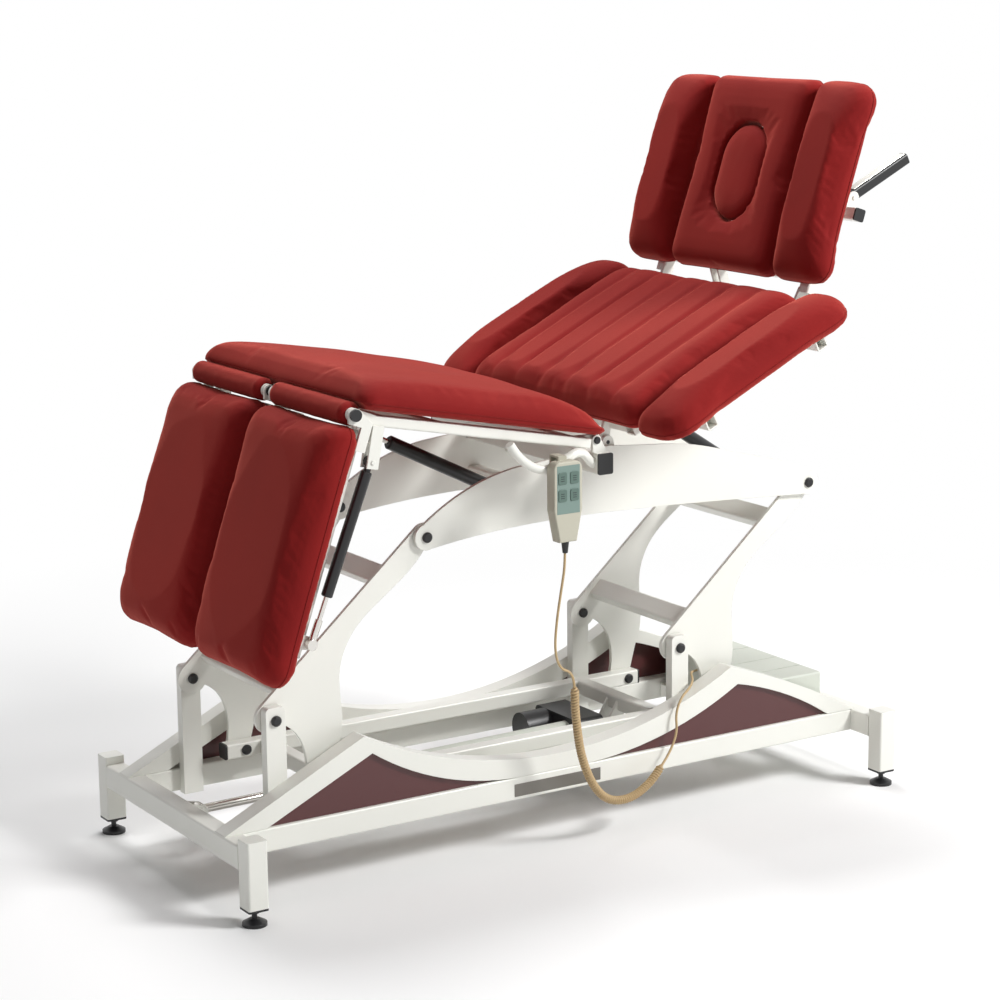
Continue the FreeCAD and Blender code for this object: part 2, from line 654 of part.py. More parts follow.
def leg_frame():
    low, high = -40.0, -20.0
    outer = (HALF - 70.0, HALF - 40.0)
    rail = tube((-440.0, -24.0), outer, (low, high), 0)
    inner = tube((-440.0, -24.0), (40.0, 70.0), (low, high), 0)
    cross = [tube((x - 14.0, x + 14.0), (70.0, outer[0]), (low, high), 1)
             for x in (-60.0, -250.0, -426.0)]
    arm = [(-18.0, 6.0), (-18.0, high), (-60.0, high), (-60.0, low), (-6.0, low), (12.0, -6.0)]
    hinge_y = SEAT_RAIL_Y[1] + 1.0
    lugs = []
    for y in ((hinge_y, hinge_y + 6.0), (8.0, 14.0)):
        lugs += [plate((0.0, 12.0), arm, y), disc(0.0, 0.0, 12.0, y)]
    stub_o = box((-60.0, -40.0), (outer[1] - 4.0, hinge_y + 3.0), (low, high))
    stub_i = box((-60.0, -40.0), (11.0, 44.0), (low, high))
    ex, ez = LEG_SPRING_LOW
    face = SPRING_Y - 7.5
    blade = plate((ex - 14.0, high), [(ex - 12.0, ez), ((ex, ez - 12.0), (ex + 12.0, ez)),
                                      (ex + 14.0, high)], (face - 5.0, face))
    body = fuse([rail, inner, stub_o, stub_i, blade] + lugs + cross)
    return body.cut(disc(0.0, 0.0, 4.5 + CLEARANCE, (0.0, HALF)))


def leg_cushion():
    start = 23.5
    y = (LEG_GAP / 2.0, HALF)
    return pad((-start - LEG_LENGTH, -start), y, (-20.0, -20.0 + LEG_PAD_THICKNESS + 6.0), 22.0, 22.0)


def leg_springs():
    top = outward(LEG_SPRING_TOP, SEAT_HINGE, SEAT_TILT)
    low = outward(LEG_SPRING_LOW, KNEE_POINT, -LEG_TILT)
    return strut(top, low, SPRING_Y, 10.5, 4.5, 250.0, 45.0, 10.0, 7.0, head=7.0)


def seat_spring():
    low = (MID_X + SEAT_MOUNT[0], MID_Z + SEAT_MOUNT[1])
    top = outward(SEAT_SPRING_EYE, SEAT_HINGE, SEAT_TILT)
    return strut(low, top, 0.0, 13.5, 5.0, 290.0, 90.0, 10.0, 9.0)


# Section: back section
BACK_RAIL_Y = (215.0, 245.0)
BACK_SPRING_EYE = (150.0, 5.0)
STRUT_LOW = (200.0, 0.0)
STRUT_TOP = (-10.0, -55.0)
STRUT_Y = 60.0
BACK_CROSS_U = 120.0


def back_place(shape):
    return tilted(shape, BACK_HINGE, -BACK_TILT)


def back_frame():
    low, high = 15.0, 40.0
    hx, hw = HEAD_HINGE_LOCAL
    y = BACK_RAIL_Y
    rail = tube((20.0, BACK_LENGTH - 5.0), y, (low, high), 0)
    lug = plate((0.0, -13.0), [(22.0, low), (48.0, low), (48.0, high), (20.0, high), (-12.0, 5.0),
                               ((-13.0, -1.0), (0.0, -13.0))], (ARM_Y[0] - 8.0, ARM_Y[0]))
    lug = lug.cut(disc(0.0, 0.0, SMALL_BOLT_DIAMETER / 2.0 + CLEARANCE, (ARM_Y[0] - 9.0, ARM_Y[1])))
    ear = plate((BACK_LENGTH - 30.0, low), [(hx, hw - 12.0), ((hx + 12.0, hw), (hx, hw + 9.9)),
                                            (BACK_LENGTH - 30.0, high)], (y[0], y[0] + 7.0))
    ear = ear.cut(disc(hx, hw, SMALL_BOLT_DIAMETER / 2.0 + CLEARANCE, (y[0], y[1])))
    cross = [tube((x - 12.5, x + 12.5), (-y[0], y[0]), (low, high), 1)
             for x in (34.0, BACK_CROSS_U, 410.0)]
    wing = [tube((x - 12.5, x + 12.5), (y[1], 404.0), (low, high), 1) for x in (92.0, 380.0)]
    ex, ez = BACK_SPRING_EYE
    left, right = BACK_CROSS_U - 11.0, BACK_CROSS_U + 11.0
    blade = plate((left, low + 4.0),
                  [(ex - 3.0, ez - 10.5), ((ex + 11.0, ez), (ex + 3.0, ez + 10.5)),
                   (right, low + 4.0)], (9.5, 14.5))
    stud = disc(ex, ez, 7.0, (14.5, 18.5))
    sx, sz = STRUT_LOW
    lug_s = plate((left, low + 4.0), [(sx, sz - 11.0), ((sx + 11.0, sz), (sx + 6.0, sz + 9.0)),
                                      (right, low + 4.0)], (STRUT_Y + 9.5, STRUT_Y + 14.5))
    lug_t = lug_s.copy()
    lug_t.translate(V(0, -24.0, 0))
    pin = disc(sx, sz, 4.0, (STRUT_Y - 17.0, STRUT_Y + 17.0))
    parts = cross + [lug_s, lug_t, pin]
    for side in [rail, lug, ear, blade, stud] + wing:
        parts += pair(side)
    return back_place(fuse(parts))


def back_cushion():
    half = BACK_PAD_WIDTH / 2.0
    w = (40.0, 40.0 + BACK_PAD_THICKNESS)
    return back_place(pad((0.0, BACK_LENGTH), (-half, half), w, 22.0, 22.0))


def arm_pad():
    inner = BACK_PAD_WIDTH / 2.0 + 4.0
    outer = inner + ARM_PAD_WIDTH
    u = (-10.0, ARM_PAD_LENGTH - 10.0)
    body = box(u, (inner, outer), (40.0, 40.0 + BACK_PAD_THICKNESS))
    verticals = edges_along(body, 2)
    big = [e for e in verticals if e.Vertexes[0].Point.y > outer - 1.0]
    body = body.makeFillet(56.0, big)
    small = [e for e in edges_along(body, 2) if e.Vertexes[0].Point.y < inner + 1.0]
    body = body.makeFillet(22.0, small)
    top = [e for e in body.Edges if abs(e.BoundBox.ZMin - 40.0 - BACK_PAD_THICKNESS) < 1e-4]
    return back_place(body.makeFillet(20.0, top))


def back_spring():
    low = (MID_X + BACK_MOUNT[0], MID_Z + BACK_MOUNT[1])
    top = outward(BACK_SPRING_EYE, BACK_HINGE, -BACK_TILT)
    return strut(low, top, 0.0, 13.5, 5.0, 255.0, 94.0, 10.0, 9.0)


# Section: head section
HEAD_POINT = outward(HEAD_HINGE_LOCAL, BACK_HINGE, -BACK_TILT)
PEG_U = 205.0
LEVER_PIVOT = (239.0, -38.0)
LEVER_TURN = 46.0


def head_place(shape):
    return tilted(shape, HEAD_POINT, -HEAD_TILT)


def head_frame():
    low, high = -20.0, 5.0
    y = (224.0, 254.0)
    rail = tube((34.0, 425.0), y, (low, high), 0)
    lug = plate((0.0, -13.0), [(44.0, low), (44.0, high), (0.0, 13.0), ((-13.0, 0.0), (0.0, -13.0))],
                (y[0], y[0] + 7.0))
    lug = lug.cut(disc(0.0, 0.0, SMALL_BOLT_DIAMETER / 2.0, (y[0] - 1.0, y[1])))
    cross = [tube((x - 12.5, x + 12.5), (-y[0], y[0]), (low, high), 1) for x in (70.0, 400.0)]
    peg = tube((PEG_U - 12.5, PEG_U + 12.5), (-300.0, 300.0), (low - 25.0, low), 1)
    centre = [tube((82.5, 387.5), (105.0, 125.0), (low, high), 0)]
    px, pz = LEVER_PIVOT
    fork = plate((PEG_U + 10.0, -23.0), [(px + 4.0, -26.0), ((px + 12.0, pz), (px + 4.0, pz - 12.0)),
                                         (PEG_U + 10.0, -44.0)], (-267.0, -263.5))
    fork = fork.cut(disc(px, pz, 4.0, (-270.0, -260.0)))
    other = fork.copy()
    other.translate(V(0, 30.5, 0))
    pin = disc(px, pz, 4.0, (-270.0, -230.0))
    sx, sz = STRUT_TOP
    blade = plate((57.0, low + 6.0),
                  [(57.0, low), (sx + 4.0, sz - 11.0), ((sx - 8.0, sz - 8.0), (sx - 8.0, sz + 8.0)),
                   (52.0, low + 22.0), (60.0, low + 22.0)], (STRUT_Y + 9.5, STRUT_Y + 14.5))
    twin = blade.copy()
    twin.translate(V(0, -24.0, 0))
    studs = [disc(sx, sz, 7.0, (STRUT_Y + 14.5, STRUT_Y + 18.0)),
             disc(sx, sz, 7.0, (STRUT_Y - 18.0, STRUT_Y - 14.5))]
    parts = pair(rail) + pair(lug) + pair(centre[0]) + cross
    return head_place(fuse(parts + [peg, fork, other, pin, blade, twin] + studs))


def head_tube_caps():
    cap = box((PEG_U - 12.5, PEG_U + 12.5), (300.0, 304.0), (-45.0, -20.0))
    caps = pair(cap.makeFillet(TUBE_ROUND, edges_along(cap, 1)))
    hinge = domed_bolt(0.0, 0.0, (BACK_RAIL_Y[0], 231.2), SMALL_BOLT_DIAMETER, 14.0, 4.0)
    return head_place(group(caps + pair(hinge)))


def oval(length, width, w):
    """Straight-sided oval drawn in plan, centred on the face opening."""
    mid = 50.0 + HEAD_LENGTH / 2.0
    straight = (length - width) / 2.0
    body = box((mid - straight, mid + straight), (-width / 2.0, width / 2.0), w)
    ends = [Part.makeCylinder(width / 2.0, w[1] - w[0], V(mid + s * straight, 0, w[0])) for s in (-1, 1)]
    return fuse([body] + ends)


def head_pads():
    top = 5.0 + HEAD_PAD_THICKNESS
    u = (50.0, 50.0 + HEAD_LENGTH)
    half = HEAD_CENTRE_WIDTH / 2.0
    centre = pad(u, (-half, half), (5.0, top), 18.0, 18.0)
    centre = centre.cut(oval(FACE_HOLE_LENGTH, FACE_HOLE_WIDTH, (4.0, top + 1.0)))
    side = pad(u, (half + 5.0, HALF), (5.0, top), 34.0, 20.0)
    return head_place(centre), head_place(mirrored(side)), head_place(side)


def face_plug():
    top = 5.0 + HEAD_PAD_THICKNESS
    body = oval(FACE_HOLE_LENGTH - 0.5, FACE_HOLE_WIDTH - 0.5, (5.0, top - 10.0))
    rim = [e for e in body.Edges if abs(e.BoundBox.ZMin - top + 10.0) < 1e-4]
    return head_place(body.makeFillet(12.0, rim))


def head_lever():
    bar = box((-12.0, 158.0), (-262.5, -237.5), (-11.0, 11.0))
    bar = bar.makeFillet(5.0, edges_along(bar, 0))
    bar = bar.cut(disc(0.0, 0.0, 4.0 + CLEARANCE, (-270.0, -230.0)))
    local = tilted(bar, LEVER_PIVOT, LEVER_TURN)
    return head_place(local)


def head_strut():
    low = outward(STRUT_LOW, BACK_HINGE, -BACK_TILT)
    top = outward(STRUT_TOP, HEAD_POINT, -HEAD_TILT)
    return strut(low, top, STRUT_Y, 11.0, 5.0, 190.0, 112.0, 10.0, 9.0)


# Section: hand control and cord
HANDSET_X = -84.0
HANDSET_TOP = 772.0
HANDSET_BACK = HOOK_Y - HOOK_TUBE_RADIUS - 1.5
HANDSET_FRONT = HANDSET_BACK - HANDSET_DEPTH


def handset_shell():
    half, low_half = HANDSET_WIDTH / 2.0, HANDSET_WIDTH / 2.0 - 12.0
    bottom = HANDSET_TOP - HANDSET_HEIGHT
    x = HANDSET_X
    top = HANDSET_TOP
    body = plate((x - low_half, bottom),
                 [(x - half, bottom + 60.0), (x - half, top - 14.0),
                  ((x - half + 4.0, top - 4.0), (x - half + 14.0, top)), (x + half - 14.0, top),
                  ((x + half - 4.0, top - 4.0), (x + half, top - 14.0)),
                  (x + half, bottom + 60.0), (x + low_half, bottom)], (HANDSET_FRONT, HANDSET_BACK))
    front = [e for e in body.Edges if abs(e.BoundBox.YMax - HANDSET_FRONT) < 1e-4]
    body = body.makeFillet(3.0, front)
    for bx, bz in button_places():
        pocket = (HANDSET_FRONT - 1.0, HANDSET_FRONT + 5.0)
        body = body.cut(box((bx - 9.4, bx + 9.4), pocket, (bz - 11.4, bz + 11.4)))
    clip = [box((x - 10.0, x + 8.0), (HANDSET_BACK, HOOK_Y + 13.5), (776.0, 780.0)),
            box((x - 10.0, x + 8.0), (HOOK_Y + 10.0, HOOK_Y + 13.5), (752.0, 777.0)),
            box((x - 10.0, x + 8.0), (HANDSET_BACK - 6.0, HANDSET_BACK + 1.0), (760.0, 780.0))]
    return at_mid(fuse([body] + clip))


def button_places():
    return [(HANDSET_X + sx * 13.0, bz) for bz in (742.0, 710.0) for sx in (-1, 1)]


def button(index):
    bx, bz = button_places()[index]
    key = box((bx - 9.0, bx + 9.0), (HANDSET_FRONT - 1.5, HANDSET_FRONT + 3.8), (bz - 11.0, bz + 11.0))
    key = key.makeFillet(3.0, edges_along(key, 1))
    return at_mid(key)


def strain_relief():
    bottom = HANDSET_TOP - HANDSET_HEIGHT
    y = (HANDSET_FRONT + HANDSET_BACK) / 2.0
    cone = Part.makeCone(7.5, 5.0, 22.0, V(HANDSET_X, y, bottom), V(0, 0, -1))
    bore = Part.makeCylinder(CORD_RADIUS + 0.2, 24.0, V(HANDSET_X, y, bottom - 23.0))
    return at_mid(cone.cut(bore))


def cord_lead():
    y = (HANDSET_FRONT + HANDSET_BACK) / 2.0
    points = [V(HANDSET_X, y, 599.8), V(-86, y + 3, 561), V(-92, -333, 500), V(-95, -330, 430),
              V(-88, -327, 393), V(-64, -323, 367), V(-48, -318, 336)]
    return sweep(points, CORD_RADIUS, 30.0)


def cord_curl():
    points = [V(-48, -318, 336), V(-45, -316, 300), V(-36, -311, 250), V(-20, -304, 195),
              V(8, -297, 138), V(48, -289, 96), V(104, -280, 84), V(158, -268, 95), V(205, -254, 128)]
    return sweep(points, CURL_RADIUS, 22.0)


def cord_tail():
    end_y = -ARM_Y[0] + 3.0 + CORD_RADIUS
    x, z = CORD_CLIP
    points = [V(205, -254, 128), V(232, -246, 158), V(243, -240, 200), V(258, -236, 232),
              V(286, -225, 250), V(320, -195, 256), V(335, -168, 260), V(350, -152, z),
              V(x - 16.0, end_y, z), V(x + 9.0, end_y, z)]
    return sweep(points, CORD_RADIUS, 20.0)


# Section: assembly
def nodes():
    made = {
        "corner_legs": corner_legs(), "base_cross_tubes": base_cross_tubes(),
        "near_side_frame": mirrored(side_frame()), "far_side_frame": side_frame(),
        "infill_panels": infill_panels(), "pivot_posts": pivot_posts(),
        "levelling_feet": levelling_feet(), "control_box": control_box(),
        "base_pivot_bolts": base_pivot_bolts(),
        "foot_arm_plates": arm_plates(P1), "foot_arm_tubes": foot_arm_tubes(),
        "head_arm_plates": arm_plates(P2), "head_arm_tubes": head_arm_tubes(),
        "link_frame": link_frame(), "link_caps_and_bolts": link_caps_and_bolts(),
        "mid_plates": mid_plates(), "mid_cross_tubes": mid_cross_tubes(),
        "hinge_tube": hinge_tube(), "mid_caps_and_bolts": mid_caps_and_bolts(),
        "handset_hook": handset_hook(),
        "seat_frame": seat_frame(), "seat_cushion": seat_cushion(),
        "seat_bolts": seat_bolts(), "knee_rolls": knee_rolls(),
        "back_frame": back_frame(), "back_cushion": back_cushion(),
        "near_arm_pad": None, "far_arm_pad": None,
        "head_frame": head_frame(), "head_tube_caps": head_tube_caps(),
        "face_plug": face_plug(), "head_lever": head_lever(),
        "handset_shell": handset_shell(), "strain_relief": strain_relief(),
        "cord_lead": cord_lead(), "cord_curl": cord_curl(), "cord_tail": cord_tail(),
    }
    made["lift_motor"], made["lift_rod"] = lift_drive()
    made["seat_spring_cylinder"], made["seat_spring_rod"] = seat_spring()
    made["back_spring_cylinder"], made["back_spring_rod"] = back_spring()
    made["head_strut_cylinder"], made["head_strut_rod"] = head_strut()
    far = {"leg_frame": leg_place(leg_frame()), "leg_cushion": leg_place(leg_cushion())}
    far["leg_spring_cylinder"], far["leg_spring_rod"] = leg_springs()
    far["arm_pad"] = arm_pad()
    for name, shape in far.items():
        made["far_" + name] = shape
        made["near_" + name] = mirrored(shape)
    made["head_centre_pad"], made["near_head_pad"], made["far_head_pad"] = head_pads()
    for index in range(4):
        made["button_%d" % (index + 1)] = button(index)
    return made


def main():
    made = nodes()
    bounds = FreeCAD.BoundBox()
    for shape in made.values():
        bounds.add(shape.optimalBoundingBox(False, False))
    shift = V(-(bounds.XMin + bounds.XMax) / 2.0, -(bounds.YMin + bounds.YMax) / 2.0, -bounds.ZMin)
    os.makedirs("parts", exist_ok=True)
    for name, shape in made.items():
        placed = shape.copy()
        placed.translate(shift)
        placed.exportStep("parts/%s.step" % name)
    print("nodes", len(made))
    print("shift", round(shift.x, 4), round(shift.y, 4), round(shift.z, 4))
    print("size", round(bounds.XLength, 2), round(bounds.YLength, 2), round(bounds.ZLength, 2))


main()
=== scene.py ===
import json
import math
import bpy
import bmesh
from mathutils import Matrix, Vector, noise


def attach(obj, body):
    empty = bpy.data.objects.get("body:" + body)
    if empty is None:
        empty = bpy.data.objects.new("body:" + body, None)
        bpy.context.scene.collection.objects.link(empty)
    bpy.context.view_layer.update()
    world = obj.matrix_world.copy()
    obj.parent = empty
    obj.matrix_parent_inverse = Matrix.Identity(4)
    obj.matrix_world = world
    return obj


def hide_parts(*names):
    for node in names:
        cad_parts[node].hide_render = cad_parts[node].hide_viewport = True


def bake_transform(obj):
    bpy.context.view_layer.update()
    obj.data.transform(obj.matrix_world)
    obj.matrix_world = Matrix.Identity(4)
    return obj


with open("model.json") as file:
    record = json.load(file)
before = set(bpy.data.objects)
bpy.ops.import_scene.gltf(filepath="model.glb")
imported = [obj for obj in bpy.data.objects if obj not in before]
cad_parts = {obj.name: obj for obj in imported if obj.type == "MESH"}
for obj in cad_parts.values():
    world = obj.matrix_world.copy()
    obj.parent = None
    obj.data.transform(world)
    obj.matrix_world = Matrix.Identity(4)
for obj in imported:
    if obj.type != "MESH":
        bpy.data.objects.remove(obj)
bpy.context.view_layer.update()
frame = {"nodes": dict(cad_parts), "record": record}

scene = bpy.context.scene
nodes = frame["nodes"]

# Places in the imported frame, in metres.
SHIFT_X = -0.02747
MID = (-0.02688, 0.00041)
SEAT_HINGE = (-0.00688, 0.79241)
KNEE = (-0.52991, 0.89502)
BACK_HINGE = (0.10612, 0.75741)
HEAD_HINGE = (0.51414, 0.98979)


# Camera at the photo's viewing angle: turn, dip and roll in radians
CAMERA_ANGLES = (0.5622239, 0.2053389, -0.0097105)
CAMERA_PLACE = (-2.70056, -4.22916, 1.67310)
CAMERA_LENS, CAMERA_SENSOR = 93.74, 36.0


def place_camera():
    turn, dip, roll = CAMERA_ANGLES
    forward = Vector((math.sin(turn) * math.cos(dip), math.cos(turn) * math.cos(dip),
                      -math.sin(dip)))
    right = Vector((math.cos(turn), -math.sin(turn), 0.0))
    up = right.cross(forward)
    tilt_right = right * math.cos(roll) + up * math.sin(roll)
    tilt_up = up * math.cos(roll) - right * math.sin(roll)
    data = bpy.data.cameras.new("photo_camera")
    data.lens, data.sensor_width = CAMERA_LENS, CAMERA_SENSOR
    data.clip_end = 60.0
    camera = bpy.data.objects.new("photo_camera", data)
    scene.collection.objects.link(camera)
    turnmat = Matrix((tilt_right, tilt_up, -forward)).transposed().to_4x4()
    camera.matrix_world = Matrix.Translation(CAMERA_PLACE) @ turnmat
    scene.camera = camera


# Materials, all procedural
class Paint:
    """A node material with small helpers, kept short on purpose."""

    def __init__(self, name, color, rough, metal=0.0):
        self.mat = bpy.data.materials.new(name)
        self.mat.use_nodes = True
        self.tree = self.mat.node_tree
        self.bsdf = self.tree.nodes["Principled BSDF"]
        self.set("Base Color", (*color, 1.0))
        self.set("Roughness", rough)
        self.set("Metallic", metal)
        self.mat.diffuse_color = (*color, 1.0)

    def set(self, socket, value):
        self.bsdf.inputs[socket].default_value = value

    def node(self, kind, **values):
        made = self.tree.nodes.new(kind)
        for key, value in values.items():
            if key in made.inputs:
                made.inputs[key].default_value = value
            else:
                setattr(made, key, value)
        return made

    def link(self, a, out, b, into):
        self.tree.links.new(a.outputs[out], b.inputs[into])

    def coords(self):
        return self.node("ShaderNodeTexCoord")

    def vary(self, low, high, scale, detail=3.0):
        """Base colour that drifts between two tones."""
        grain = self.node("ShaderNodeTexNoise", Scale=scale, Detail=detail)
        ramp = self.node("ShaderNodeMix", data_type="RGBA")
        ramp.inputs[6].default_value = (*low, 1.0)
        ramp.inputs[7].default_value = (*high, 1.0)
        self.link(self.coords(), "Object", grain, "Vector")
        self.link(grain, "Fac", ramp, 0)
        self.tree.links.new(ramp.outputs[2], self.bsdf.inputs["Base Color"])

    def bump(self, scale, height, detail=2.0, round_edges=0.0):
        grain = self.node("ShaderNodeTexNoise", Scale=scale, Detail=detail)
        lift = self.node("ShaderNodeBump", Strength=1.0, Distance=height)
        self.link(self.coords(), "Object", grain, "Vector")
        self.link(grain, "Fac", lift, "Height")
        if round_edges:
            soft = self.node("ShaderNodeBevel", Radius=round_edges)
            self.link(soft, "Normal", lift, "Normal")
        self.link(lift, "Normal", self.bsdf, "Normal")


def velvet(name, low, high):
    made = Paint(name, high, 0.82)
    made.vary(low, high, 5.0, 4.0)
    made.bump(900.0, 0.00025)
    made.set("Sheen Weight", 0.55)
    made.set("Sheen Roughness", 0.45)
    made.set("Sheen Tint", (1.0, 0.25, 0.18, 1.0))
    made.set("Specular IOR Level", 0.15)
    return made.mat


def painted(name, color, rough=0.34, edge=0.0012):
    made = Paint(name, color, rough)
    worn = tuple(c * 0.93 for c in color)
    made.vary(worn, color, 3.0)
    made.bump(420.0, 0.00006, round_edges=edge)
    made.set("Coat Weight", 0.25)
    made.set("Coat Roughness", 0.2)
    return made.mat


def plain(name, color, rough, metal=0.0, grain=300.0, height=0.00005, edge=0.0008):
    made = Paint(name, color, rough, metal)
    made.bump(grain, height, round_edges=edge)
    return made.mat


def make_materials():
    return {
        "frame_paint": painted("frame_paint", (0.86, 0.86, 0.80)),
        "maroon_panel": painted("maroon_panel", (0.085, 0.020, 0.020), 0.4),
        "black_plastic": plain("black_plastic", (0.012, 0.012, 0.013), 0.38),
        "pale_plastic": plain("pale_plastic", (0.62, 0.65, 0.58), 0.5, edge=0.0015),
        "red_cover": velvet("red_cover", (0.175, 0.006, 0.007), (0.285, 0.012, 0.011)),
        "black_steel": plain("black_steel", (0.010, 0.010, 0.011), 0.3),
        "bright_steel": plain("bright_steel", (0.72, 0.70, 0.66), 0.22, 1.0),
        "handset_casing": plain("handset_casing", (0.50, 0.48, 0.39), 0.55),
        "key_dark": plain("key_dark", (0.10, 0.16, 0.135), 0.5),
        "tan_cord": plain("tan_cord", (0.50, 0.36, 0.19), 0.5),
        "handset_face": plain("handset_face", (0.19, 0.27, 0.24), 0.45),
        "seam_thread": velvet("seam_thread", (0.17, 0.006, 0.007), (0.22, 0.009, 0.009)),
        "bare_plate": plain("bare_plate", (0.20, 0.19, 0.17), 0.4, 0.6),
        "pale_strip": plain("pale_strip", (0.70, 0.69, 0.64), 0.3, 0.7),
        "mark_ink": plain("mark_ink", (0.02, 0.03, 0.028), 0.6),
    }


DRIVE_BLACK_X, DRIVE_BLACK_Y = 0.115, 0.03
SHARP_ANGLE = 32.0


def dress_nodes(mats):
    for part in frame["record"]["subparts"]:
        obj = nodes[part["node"]]
        obj.data.materials.clear()
        obj.data.materials.append(mats[part["material_slot"]])
    drive = nodes["lift_motor"].data
    drive.materials.append(mats["black_plastic"])
    for poly in drive.polygons:
        if poly.center.x > DRIVE_BLACK_X or poly.center.y > DRIVE_BLACK_Y:
            poly.material_index = 1


def smooth_nodes():
    """Smooth shading on round faces, sharp where the solid has an edge."""
    for obj in nodes.values():
        for poly in obj.data.polygons:
            poly.use_smooth = True
        obj.data.set_sharp_from_angle(angle=math.radians(SHARP_ANGLE))


# Small mesh helpers
def new_mesh(name, verts, faces, mat, smooth=True):
    mesh = bpy.data.meshes.new(name)
    mesh.from_pydata([tuple(v) for v in verts], [], faces)
    mesh.validate()
    mesh.update()
    if smooth:
        for poly in mesh.polygons:
            poly.use_smooth = True
    mesh.materials.append(mat)
    obj = bpy.data.objects.new(name, mesh)
    scene.collection.objects.link(obj)
    return obj


def ring_faces(rings, around, inward=False):
    """Faces between rings of points, and one at each end."""
    faces = []
    for i in range(rings - 1):
        for k in range(around):
            a, b = i * around + k, i * around + (k + 1) % around
            face = (a, a + around, b + around, b) if inward else (a, b, b + around, a + around)
            faces.append(face)
    first, last = range(around), range((rings - 1) * around, rings * around)
    if inward:
        return faces + [tuple(first), tuple(reversed(last))]
    return faces + [tuple(reversed(first)), tuple(last)]


def tube_mesh(name, path, radius, mat, sides=10):
    """Tube along a path, its rings carried from point to point without twist."""
    verts = []
    tangent = (path[1] - path[0]).normalized()
    side = tangent.orthogonal().normalized()
    count = len(path)
    for i, p in enumerate(path):
        ahead = path[min(i + 1, count - 1)] - path[max(i - 1, 0)]
        step = ahead.normalized()
        side = tangent.rotation_difference(step) @ side
        tangent = step
        other = tangent.cross(side).normalized()
        for k in range(sides):
            a = 2.0 * math.pi * k / sides
            verts.append(p + (side * math.cos(a) + other * math.sin(a)) * radius)
    return new_mesh(name, verts, ring_faces(count, sides), mat)


# Hand control cord: straight lead, curly stretch, thin tail to its clip
CORD_THICK = 0.005
CORD_SIDES = 8
CURL_ARM = 0.0062
CURL_PITCH = 0.0058
TURN_STEPS = 12

# Route in millimetres, X measured from the middle of the base.
LEAD = [(-84, -342, 604), (-84, -342, 575), (-88, -337, 535), (-95, -330, 470), (-100, -330, 412),
        (-86, -327, 376), (-56, -321, 364)]
CURL = [(-47, -318, 334), (-45, -315, 295), (-38, -311, 250), (-24, -304, 190), (4, -298, 128),
        (46, -290, 84), (106, -281, 74), (162, -268, 92), (200, -256, 120)]
TAIL = [(226, -248, 142), (246, -243, 176), (244, -240, 214), (262, -234, 243), (296, -218, 254),
        (326, -186, 258), (340, -158, 263), (356, -151, 264), (390, -151, 264)]


def in_metres(point):
    """A route point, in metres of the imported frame."""
    return point[0] / 1000.0 + SHIFT_X, point[1] / 1000.0, point[2] / 1000.0


def nurbs_line(points):
    """Points along the smooth route, read from its spline."""
    data = bpy.data.curves.new("route", "CURVE")
    data.dimensions = "3D"
    data.resolution_u = 24
    spline = data.splines.new("NURBS")
    spline.points.add(len(points) - 1)
    for slot, (x, y, z) in zip(spline.points, points):
        slot.co = (*in_metres((x, y, z)), 1.0)
    spline.order_u = 3
    spline.use_endpoint_u = True
    holder = bpy.data.objects.new("route", data)
    scene.collection.objects.link(holder)
    mesh = bpy.data.meshes.new_from_object(holder)
    line = [v.co.copy() for v in mesh.vertices]
    bpy.data.objects.remove(holder)
    return line


def even(line, step):
    """The same line with its points a fixed step apart."""
    out, left = [line[0]], step
    for a, b in zip(line, line[1:]):
        gap = (b - a).length
        while gap >= left:
            a = a + (b - a) * (left / gap)
            gap = (b - a).length
            out.append(a)
            left = step
        left -= gap
    if (out[-1] - line[-1]).length > step * 0.3:
        out.append(line[-1])
    return out


def coil(line):
    """Helix round an even line, easing in and out at both ends."""
    tangent = (line[1] - line[0]).normalized()
    side = tangent.orthogonal().normalized()
    out = []
    last = len(line) - 1
    for i, p in enumerate(line):
        step = (line[min(i + 1, last)] - line[max(i - 1, 0)]).normalized()
        side = tangent.rotation_difference(step) @ side
        tangent = step
        other = tangent.cross(side).normalized()
        ease = min(1.0, i / (1.5 * TURN_STEPS), (last - i) / (1.5 * TURN_STEPS))
        a = 2.0 * math.pi * i / TURN_STEPS
        out.append(p + (side * math.cos(a) + other * math.sin(a)) * CURL_ARM * ease)
    return out


def nearest(line, spot):
    """Index of the line's point that is closest to a spot."""
    spot = Vector(spot)
    return min(range(len(line)), key=lambda i: (line[i] - spot).length)


def make_cord(mats):
    line = even(nurbs_line(LEAD + CURL + TAIL), CURL_PITCH / TURN_STEPS)
    first = nearest(line, in_metres(CURL[0]))
    last = nearest(line, in_metres(CURL[-1]))
    path = line[:first:TURN_STEPS] + coil(line[first:last]) + line[last::TURN_STEPS]
    if (path[-1] - line[-1]).length > 0.001:
        path.append(line[-1])
    cord = tube_mesh("hand_control_cord", path, CORD_THICK / 2.0, mats["tan_cord"], CORD_SIDES)
    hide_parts("cord_lead", "cord_curl", "cord_tail")
    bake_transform(cord)


# Upholstery
def local_frame(hinge, tilt):
    a = math.radians(tilt)
    along = Vector((math.cos(a), 0.0, -math.sin(a)))
    out = Vector((math.sin(a), 0.0, math.cos(a)))
    origin = Vector((hinge[0], 0.0, hinge[1]))
    return origin, along, out


SEAT = local_frame(SEAT_HINGE, 11.1)
LEG = local_frame(KNEE, -71.1)
BACK = local_frame(BACK_HINGE, -26.0)
HEAD = local_frame(HEAD_HINGE, -72.0)


def to_local(p, place):
    origin, along, out = place
    d = p - origin
    return Vector((d.dot(along), p.y, d.dot(out)))


def to_world(q, place):
    origin, along, out = place
    flat = origin + along * q.x + out * q.z
    return Vector((flat.x, q.y, flat.z))


